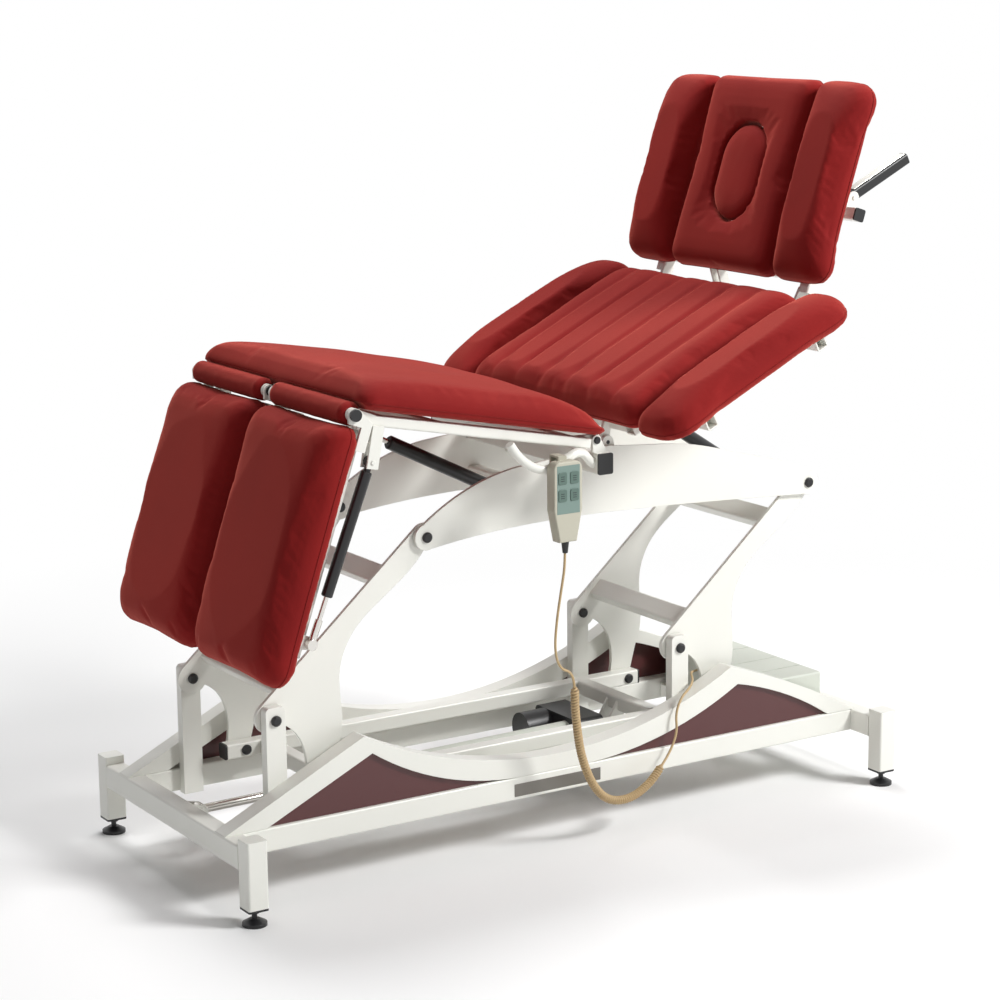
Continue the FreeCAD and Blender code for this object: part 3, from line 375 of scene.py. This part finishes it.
def ring_outline(u, y, corners, step):
    """Rounded rectangle in plan as a closed list of (u, y); radii run round from (u0, y0)."""
    (u0, u1), (y0, y1) = u, y
    pts = []
    spots = [(u0, y0, 180, corners[0]), (u1, y0, 270, corners[1]), (u1, y1, 0, corners[2]),
             (u0, y1, 90, corners[3])]
    for x, v, start, r in spots:
        cx = x + (r if x == u0 else -r)
        cy = v + (r if v == y0 else -r)
        n = max(4, int(r * math.pi / 2.0 / step))
        for k in range(n + 1):
            a = math.radians(start + 90.0 * k / n)
            pts.append(Vector((cx + r * math.cos(a), cy + r * math.sin(a))))
    out = []
    for a, b in zip(pts, pts[1:] + pts[:1]):
        n = max(1, int((b - a).length / step))
        for k in range(n):
            out.append(a + (b - a) * (k / n))
    return out


OUTLINE_STEP = 0.02
# Inset from the outline, and share of the thickness, from the back of a pad to its front.
PAD_LEVELS = [(0.006, 0.0), (0.0, 0.12), (0.0, 0.42), (0.004, 0.62), (0.013, 0.84), (0.030, 0.96),
              (0.05, 1.0)]


def pad_form(name, place, u, y, w, corners, mat, hole=None):
    """Closed pad: flat back, upright boxing, softly domed front."""
    base = ring_outline(u, y, corners, OUTLINE_STEP)
    mid = Vector(((u[0] + u[1]) / 2.0, (y[0] + y[1]) / 2.0))
    thick = w[1] - w[0]
    verts = []
    for inset, height in PAD_LEVELS:
        for p in base:
            q = p.copy()
            for axis in (0, 1):
                span = (u, y)[axis]
                half = (span[1] - span[0]) / 2.0
                shrink = 1.0 - min(inset, half * 0.6) / half
                q[axis] = mid[axis] + (p[axis] - mid[axis]) * shrink
            verts.append(to_world(Vector((q.x, q.y, w[0] + thick * height)), place))
    obj = new_mesh(name, verts, ring_faces(len(PAD_LEVELS), len(base)), mat)
    if hole:
        cut_hole(obj, place, hole, w)
    return obj


def oval_points(hole, grow=0.0, n=28):
    u, length, width = hole
    r = width / 2.0 + grow
    s = (length - width) / 2.0
    pts = []
    for k in range(n):
        a = 2.0 * math.pi * k / n
        pts.append((u + math.copysign(s, math.cos(a)) + r * math.cos(a), r * math.sin(a)))
    return pts


def cut_hole(obj, place, hole, w):
    pts = oval_points(hole)
    verts = [to_world(Vector((a, b, w[0] - 0.02)), place) for a, b in pts]
    verts += [to_world(Vector((a, b, w[1] + 0.03)), place) for a, b in pts]
    mat = obj.data.materials[0]
    tool = new_mesh("hole_tool", verts, ring_faces(2, len(pts)), mat, smooth=False)
    mod = obj.modifiers.new("hole", "BOOLEAN")
    mod.object, mod.operation, mod.solver = tool, "DIFFERENCE", "EXACT"
    apply_all(obj)
    bpy.data.objects.remove(tool)


def apply_all(obj):
    """Bake the modifiers into the mesh."""
    graph = bpy.context.evaluated_depsgraph_get()
    graph.update()
    made = bpy.data.meshes.new_from_object(obj.evaluated_get(graph))
    old, obj.data = obj.data, made
    obj.modifiers.clear()
    bpy.data.meshes.remove(old)


def remesh(obj, size):
    mod = obj.modifiers.new("even", "REMESH")
    mod.mode, mod.voxel_size, mod.use_smooth_shade = "VOXEL", size, True
    apply_all(obj)


SIM_FRAMES = 20
CLOTH = {"quality": 4, "mass": 0.3, "tension_stiffness": 18.0, "compression_stiffness": 18.0,
         "bending_stiffness": 1.2, "use_pressure": True, "uniform_pressure_force": 4.0}


def simulate(pads):
    """Inflate all pads together, then hold every point within its cap of where it began."""
    rest = {}
    for obj in pads:
        rest[obj.name] = [v.co.copy() for v in obj.data.vertices]
        cloth = obj.modifiers.new("Cloth", "CLOTH")
        for key, value in CLOTH.items():
            setattr(cloth.settings, key, value)
        cloth.settings.effector_weights.gravity = 0.0
        cloth.collision_settings.use_collision = False
        cloth.point_cache.frame_start, cloth.point_cache.frame_end = 1, SIM_FRAMES
    for frame_number in range(1, SIM_FRAMES + 1):
        scene.frame_set(frame_number)
    graph = bpy.context.evaluated_depsgraph_get()
    for obj in pads:
        shown = obj.evaluated_get(graph).data
        moved = [v.co.copy() for v in shown.vertices]
        obj.modifiers.clear()
        cap = pads[obj]
        for v, a, b in zip(obj.data.vertices, rest[obj.name], moved):
            d = b - a
            if d.length > cap:
                d = d * (cap / d.length)
            v.co = a + d
    scene.frame_set(1)


def shape(obj, place, rule):
    """Move each point by a rule given in the pad's own frame."""
    for v in obj.data.vertices:
        v.co = to_world(rule(to_local(v.co, place)), place)
    obj.data.update()


def subdivide(obj):
    mod = obj.modifiers.new("smooth", "SUBSURF")
    mod.levels = mod.render_levels = 1
    apply_all(obj)
    for poly in obj.data.polygons:
        poly.use_smooth = True


def fit(obj, place, u, y):
    """Stretch a pad in plan to the outline of the solid that it stands for."""
    spots = [to_local(v.co, place) for v in obj.data.vertices]
    spans = []
    for axis, want in ((0, u), (1, y)):
        low, high = min(q[axis] for q in spots), max(q[axis] for q in spots)
        spans.append((axis, low, (want[1] - want[0]) / (high - low), want[0]))
    for v, q in zip(obj.data.vertices, spots):
        for axis, low, grow, start in spans:
            q[axis] = start + (q[axis] - low) * grow
        v.co = to_world(q, place)


def keep_between(low, high):
    def rule(q):
        q.z = min(max(q.z, low), high)
        return q
    return rule


PADS = []
START_IN = 0.004
GRAIN = 0.006


def pad(name, node, body, place, u, y, w, corners, mats, hole=None, after=(), cap=0.010):
    """Start a pad a little inside its outline; the rules in after shape it once inflated."""
    inner_u, inner_y = (u[0] + START_IN, u[1] - START_IN), (y[0] + START_IN, y[1] - START_IN)
    obj = pad_form(name, place, inner_u, inner_y, w, corners, mats["red_cover"], hole)
    remesh(obj, GRAIN)
    PADS.append({"obj": obj, "node": node, "body": body, "place": place, "after": after,
                 "u": u, "y": y, "cap": cap})


def dome(u, y, w0, height, power=2.0):
    """Raise the front of a pad towards its middle."""
    def rule(q):
        a = min(1.0, abs(2.0 * (q.x - u[0]) / (u[1] - u[0]) - 1.0))
        b = min(1.0, abs(2.0 * (q.y - y[0]) / (y[1] - y[0]) - 1.0))
        share = max(0.0, min(1.0, (q.z - w0) / 0.03))
        q.z += height * share * (1.0 - a ** power) * (1.0 - b ** power)
        return q
    return rule


def lobes(y, count, w0, depth, u):
    """Sewn channels that run along the pad, with soft lobes between them."""
    pitch = (y[1] - y[0]) / count

    def rule(q):
        if q.z > w0:
            fade = min(1.0, max(0.0, (q.x - u[0]) / 0.07), max(0.0, (u[1] - q.x) / 0.07))
            phase = ((q.y - y[0]) / pitch) % 1.0
            valley = 1.0 - math.sin(math.pi * phase) ** 0.45
            edge = min(1.0, (q.y - y[0]) / pitch, (y[1] - q.y) / pitch)
            q.z -= depth * max(0.0, fade) * valley * (1.0 if edge >= 0.5 else 0.0)
        return q
    return rule


def taper(start, end, drop, w0):
    """Let the top fall away from start to end along the pad."""
    def rule(q):
        t = max(0.0, min(1.0, (q.x - start) / (end - start)))
        share = max(0.0, min(1.0, (q.z - w0) / 0.03))
        q.z -= drop * share * t * t
        return q
    return rule


def dimples(seed, amount, w0):
    """Small soft unevenness of foam under the cover."""
    def rule(q):
        if q.z > w0:
            n = noise.noise(Vector((q.x * 9.0 + seed, q.y * 9.0, seed)))
            q.z += amount * n
        return q
    return rule


KNEE_REACH = 0.533
ROLL_HOLLOW = 0.026


def clear_of_roll(q):
    """Hollow that leaves the knee rolls free, in the seat's own frame."""
    d = Vector((q.x + KNEE_REACH, q.z))
    if 1e-6 < d.length < ROLL_HOLLOW:
        d = d * (ROLL_HOLLOW / d.length)
        q.x, q.z = d.x - KNEE_REACH, d.y
    return q


# Plan outlines of the solids, half a millimetre inside them, in each section's own frame.
SEAT_U, SEAT_Y = (-0.5265, 0.0075), (-0.3245, 0.3245)
BACK_U, BACK_Y = (0.0005, 0.4495), (-0.2965, 0.2965)
ARM_U, ARM_EDGES = (-0.0095, 0.4695), (0.3015, 0.4295)
LEG_U, LEG_EDGES = (-0.4992, -0.0223), (0.0085, 0.3245)
HEAD_U, HEAD_EDGES = (0.0505, 0.4535), (0.1705, 0.3245)
HEAD_CENTRE_Y = (-0.1645, 0.1645)
FACE_MID = 0.252
FACE_HOLE = (FACE_MID, 0.2030, 0.1430)
SQUARE = (0.03, 0.03, 0.03, 0.03)


def make_seat_and_back_pads(mats):
    pad("seat_pad", "seat_cushion", "seat", SEAT, SEAT_U, SEAT_Y, (0.011, 0.054), SQUARE, mats,
        after=(dome(SEAT_U, SEAT_Y, 0.012, 0.020, 3.0), dimples(3.0, 0.0025, 0.03),
               taper(-0.16, 0.008, 0.026, 0.02), clear_of_roll, keep_between(0.011, 0.082)))
    pad("back_pad", "back_cushion", "back", BACK, BACK_U, BACK_Y, (0.040, 0.094), SQUARE, mats,
        cap=0.008,
        after=(dome(BACK_U, BACK_Y, 0.042, 0.012, 4.0), lobes(BACK_Y, 7, 0.066, 0.013, BACK_U),
               dimples(5.0, 0.0015, 0.07), keep_between(0.040, 0.109)))


def make_side_pads(side, s, mats):
    """Arm, leg and head pad of one side; s is -1 for the near side and 1 for the far side."""
    arm_y, leg_y, head_y = (sorted((s * a, s * b)) for a, b in (ARM_EDGES, LEG_EDGES, HEAD_EDGES))
    corner = (0.055, 0.055, 0.022, 0.022) if s < 0 else (0.022, 0.022, 0.055, 0.055)
    pad(side + "_arm_cover", side + "_arm_pad", "back", BACK, ARM_U, arm_y, (0.040, 0.092),
        corner, mats,
        after=(dome(ARM_U, arm_y, 0.042, 0.013), dimples(7.0 + s, 0.0015, 0.06),
               keep_between(0.040, 0.108)))
    pad(side + "_leg_cover", side + "_leg_cushion", side + "_leg", LEG, LEG_U, leg_y,
        (-0.020, 0.040), (0.04, 0.03, 0.03, 0.04), mats,
        after=(dome(LEG_U, leg_y, -0.018, 0.016), dimples(11.0 + s, 0.003, 0.02),
               keep_between(-0.020, 0.058)))
    corner = (0.035, 0.045, 0.02, 0.02) if s < 0 else (0.02, 0.02, 0.045, 0.035)
    pad(side + "_head_cover", side + "_head_pad", "head", HEAD, HEAD_U, head_y, (0.005, 0.058),
        corner, mats,
        after=(dome(HEAD_U, head_y, 0.006, 0.015), dimples(15.0 + s, 0.002, 0.04),
               keep_between(0.005, 0.077)))


def make_pads(mats):
    make_seat_and_back_pads(mats)
    for side, s in (("near", -1), ("far", 1)):
        make_side_pads(side, s, mats)
    pad("head_centre_cover", "head_centre_pad", "head", HEAD, HEAD_U, HEAD_CENTRE_Y, (0.005, 0.058),
        (0.022, 0.022, 0.022, 0.022), mats, hole=FACE_HOLE, cap=0.004,
        after=(dimples(21.0, 0.001, 0.04), keep_between(0.005, 0.066)))


def finish_pads():
    simulate({p["obj"]: p["cap"] for p in PADS})
    for p in PADS:
        fit(p["obj"], p["place"], p["u"], p["y"])
        for rule in p["after"]:
            shape(p["obj"], p["place"], rule)
        subdivide(p["obj"])
        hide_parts(p["node"])
        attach(p["obj"], p["body"])


SEAM_RADIUS, SEAM_SIDES = 0.0013, 6


def seam(name, obj, place, height, mat, body):
    """Sewn seam that follows the pad's own outline at one height."""
    bm = bmesh.new()
    bm.from_mesh(obj.data)
    origin, along, out = place
    cut = bmesh.ops.bisect_plane(bm, geom=bm.verts[:] + bm.edges[:] + bm.faces[:], dist=1e-6,
                                 plane_co=origin + out * height, plane_no=out)
    edges = [g for g in cut["geom_cut"] if isinstance(g, bmesh.types.BMEdge)]
    near = {}
    for edge in edges:
        for v in edge.verts:
            near.setdefault(v, []).append(edge)
    loops, seen = [], set()
    for start in near:
        if start in seen:
            continue
        loop, v, came = [], start, None
        while v not in seen:
            seen.add(v)
            loop.append(v.co.copy())
            onward = [g for g in near[v] if g is not came]
            if not onward:
                break
            came = onward[0]
            v = came.other_vert(v)
        loops.append(loop)
    loop = max(loops, key=len)
    bm.free()
    path = loop[::2]
    path = [(path[i - 1] + path[i] * 2 + path[(i + 1) % len(path)]) / 4.0 for i in range(len(path))]
    made = tube_mesh(name, path + [path[0]], SEAM_RADIUS, mat, SEAM_SIDES)
    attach(made, body)


SEAM_HEIGHTS = {"seat_pad": 0.024, "back_pad": 0.056, "near_arm_cover": 0.056,
                "far_arm_cover": 0.056, "near_leg_cover": 0.0, "far_leg_cover": 0.0,
                "near_head_cover": 0.022, "far_head_cover": 0.022, "head_centre_cover": 0.022}


def make_seams(mats):
    for p in PADS:
        name = p["obj"].name
        seam(name + "_seam", p["obj"], p["place"], SEAM_HEIGHTS[name], mats["seam_thread"],
             p["body"])


ROLL_Y = {"near": (-0.297, -0.025), "far": (0.025, 0.297)}
ROLL_RADIUS, ROLL_LIMIT = 0.0215, 0.0217
ROLL_STEPS, ROLL_AROUND = 40, 36


def make_rolls(mats):
    """Two small knee rolls, gathered at their ends."""
    for side, y in ROLL_Y.items():
        verts = []
        for i in range(ROLL_STEPS + 1):
            t = i / ROLL_STEPS
            end = min(t, 1.0 - t)
            r = ROLL_RADIUS * min(1.0, 0.62 + 1.5 * math.sqrt(max(0.0, end) * 4.0))
            r = min(r, ROLL_LIMIT)
            for k in range(ROLL_AROUND):
                a = 2.0 * math.pi * k / ROLL_AROUND
                spot = Vector((math.cos(a) * 2.0, t * 14.0, math.sin(a) * 2.0 + y[0]))
                ripple = 1.0 + 0.025 * noise.noise(spot)
                verts.append((KNEE[0] + r * ripple * math.cos(a), y[0] + (y[1] - y[0]) * t,
                              KNEE[1] + r * ripple * math.sin(a)))
        faces = ring_faces(ROLL_STEPS + 1, ROLL_AROUND, inward=True)
        roll = new_mesh(side + "_roll_cover", verts, faces, mats["red_cover"])
        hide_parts("knee_rolls")
        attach(roll, "seat")


PLUG_OVAL = (FACE_MID, 0.1985, 0.1385)
PLUG_POINTS = 56
# Growth of the oval, and height, from the back of the plug to its front.
PLUG_RINGS = [(0.0, 0.006), (0.0, 0.040), (-0.004, 0.049), (-0.012, 0.054), (-0.028, 0.057),
              (-0.05, 0.058)]


def make_plug(mats):
    """Lift-out plug of the face opening."""
    verts = []
    for grow, w in PLUG_RINGS:
        for a, b in oval_points(PLUG_OVAL, grow, PLUG_POINTS):
            wave = 0.0012 * noise.noise(Vector((a * 30.0, b * 30.0, w)))
            verts.append(to_world(Vector((a, b, w + wave)), HEAD))
    faces = ring_faces(len(PLUG_RINGS), PLUG_POINTS)
    plug = new_mesh("face_plug_cover", verts, faces, mats["red_cover"])
    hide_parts("face_plug")
    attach(plug, "face_plug")


# Hard trim that is thinner than the solids carry
BOX_FACES = [(0, 1, 3, 2), (4, 6, 7, 5), (0, 4, 5, 1), (2, 3, 7, 6), (0, 2, 6, 4), (1, 5, 7, 3)]


def box_trim(name, corners, mat, body, round_by):
    """Box with eased edges, from its eight corners."""
    made = new_mesh(name, corners, BOX_FACES, mat, smooth=False)
    mod = made.modifiers.new("edge", "BEVEL")
    mod.width, mod.segments = round_by, 2
    apply_all(made)
    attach(made, body)


def block(name, x, y, z, mat, body, round_by):
    """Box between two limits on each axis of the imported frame."""
    corners = [Vector((a, b, c)) for a in x for b in y for c in z]
    box_trim(name, corners, mat, body, round_by)


def slab(name, place, u, y, w, mat, body):
    """Thin strip laid out in a section's own frame."""
    corners = [to_world(Vector((a, b, c)), place) for a in u for b in y for c in w]
    box_trim(name, corners, mat, body, (w[1] - w[0]) * 0.4)


HANDSET_X = MID[0] - 0.084
HANDSET_FRONT = -0.354
KEY_X, KEY_Z = (-0.013, 0.013), (0.742, 0.710)
KEY_ROW_SPLIT = 0.72


def make_key_marks(mats):
    """Three plain strokes on each of the four keys."""
    y = (HANDSET_FRONT - 0.0018, HANDSET_FRONT - 0.0014)
    for bx in KEY_X:
        for bz in KEY_Z:
            right, top = bx > 0, bz > KEY_ROW_SPLIT
            button = "button_%d" % ((1 if top else 3) + (1 if right else 0))
            for k in (-1, 0, 1):
                x = (HANDSET_X + bx - 0.004, HANDSET_X + bx + 0.004)
                z = (bz + k * 0.004 - 0.0006, bz + k * 0.004 + 0.0006)
                block("key_mark_%d_%d_%d" % (right, top, k + 1), x, y, z, mats["mark_ink"],
                      button, 0.0001)


def make_trim(mats):
    block("name_plate", (SHIFT_X - 0.125, SHIFT_X + 0.073), (-0.2278, -0.227), (0.106, 0.131),
          mats["bare_plate"], "root", 0.0003)
    block("handset_face", (HANDSET_X - 0.025, HANDSET_X + 0.025),
          (HANDSET_FRONT - 0.00025, HANDSET_FRONT + 0.0002), (0.676, 0.766),
          mats["handset_face"], "handset", 0.0003)
    make_key_marks(mats)


LEVER = local_frame((0.62414, 1.20535), -26.0)


def make_lever_strip(mats):
    slab("lever_strip", LEVER, (0.012, 0.155), (-0.2600, -0.2400), (0.0108, 0.0122),
         mats["pale_strip"], "head_lever")


# Floor, world and lamps
def seen_by_eye(tree):
    """1 for camera, glossy and transmission rays, else 0."""
    path = tree.nodes.new("ShaderNodeLightPath")
    last = path.outputs["Is Camera Ray"]
    for name in ("Is Glossy Ray", "Is Transmission Ray"):
        both = tree.nodes.new("ShaderNodeMath")
        both.operation = "MAXIMUM"
        tree.links.new(last, both.inputs[0])
        tree.links.new(path.outputs[name], both.inputs[1])
        last = both.outputs[0]
    return last


FLOOR_REACH = 9.0
FADE_FROM, FADE_TO = 0.8, 2.6


def make_floor():
    """Pale floor that fades to white away from the table."""
    far = FLOOR_REACH
    mesh = bpy.data.meshes.new("floor")
    mesh.from_pydata([(-far, -far, 0), (far, -far, 0), (far, far, 0), (-far, far, 0)], [],
                     [(0, 1, 2, 3)])
    floor = bpy.data.objects.new("floor", mesh)
    scene.collection.objects.link(floor)
    pale = Paint("floor_paper", (0.93, 0.93, 0.93), 0.9)
    tree = pale.tree
    away = pale.node("ShaderNodeVectorMath", operation="LENGTH")
    pale.link(pale.coords(), "Object", away, 0)
    fade = pale.node("ShaderNodeMapRange", interpolation_type="SMOOTHSTEP")
    fade.inputs["From Min"].default_value = FADE_FROM
    fade.inputs["From Max"].default_value = FADE_TO
    tree.links.new(away.outputs["Value"], fade.inputs["Value"])
    both = pale.node("ShaderNodeMath", operation="MULTIPLY")
    tree.links.new(fade.outputs[0], both.inputs[0])
    tree.links.new(seen_by_eye(tree), both.inputs[1])
    white = pale.node("ShaderNodeEmission")
    white.inputs["Color"].default_value = (1.0, 1.0, 1.0, 1.0)
    mix = pale.node("ShaderNodeMixShader")
    tree.links.new(both.outputs[0], mix.inputs[0])
    tree.links.new(pale.bsdf.outputs[0], mix.inputs[1])
    tree.links.new(white.outputs[0], mix.inputs[2])
    tree.links.new(mix.outputs[0], tree.nodes["Material Output"].inputs["Surface"])
    mesh.materials.append(pale.mat)


WORLD_LEVEL = 0.21


def make_world():
    """White to the eye and to mirrors, a plain low level for everything else."""
    world = bpy.data.worlds.new("studio")
    scene.world = world
    world.use_nodes = True
    tree = world.node_tree
    back = tree.nodes["Background"]
    back.inputs[0].default_value = (1.0, 1.0, 1.0, 1.0)
    level = tree.nodes.new("ShaderNodeMath")
    level.operation = "MULTIPLY_ADD"
    level.inputs[1].default_value = 1.0 - WORLD_LEVEL
    level.inputs[2].default_value = WORLD_LEVEL
    tree.links.new(seen_by_eye(tree), level.inputs[0])
    tree.links.new(level.outputs[0], back.inputs[1])


# Name, place, aim, power in watts, size
LAMPS = [("key", (2.6, -3.4, 3.6), (0.0, 0.0, 0.6), 250.0, 1.3),
         ("top", (0.3, 1.2, 4.2), (0.1, 0.0, 0.8), 110.0, 1.6)]


def make_lamps():
    for name, where, aim, power, size in LAMPS:
        data = bpy.data.lights.new(name, "AREA")
        data.energy, data.size = power, size
        lamp = bpy.data.objects.new(name, data)
        lamp.location = where
        lamp.rotation_euler = (Vector(aim) - Vector(where)).to_track_quat("-Z", "Y").to_euler()
        scene.collection.objects.link(lamp)


place_camera()
materials = make_materials()
dress_nodes(materials)
smooth_nodes()
make_cord(materials)
make_pads(materials)
finish_pads()
make_seams(materials)
make_rolls(materials)
make_plug(materials)
make_trim(materials)
make_lever_strip(materials)
make_floor()
make_world()
make_lamps()
scene.view_settings.view_transform = "Standard"
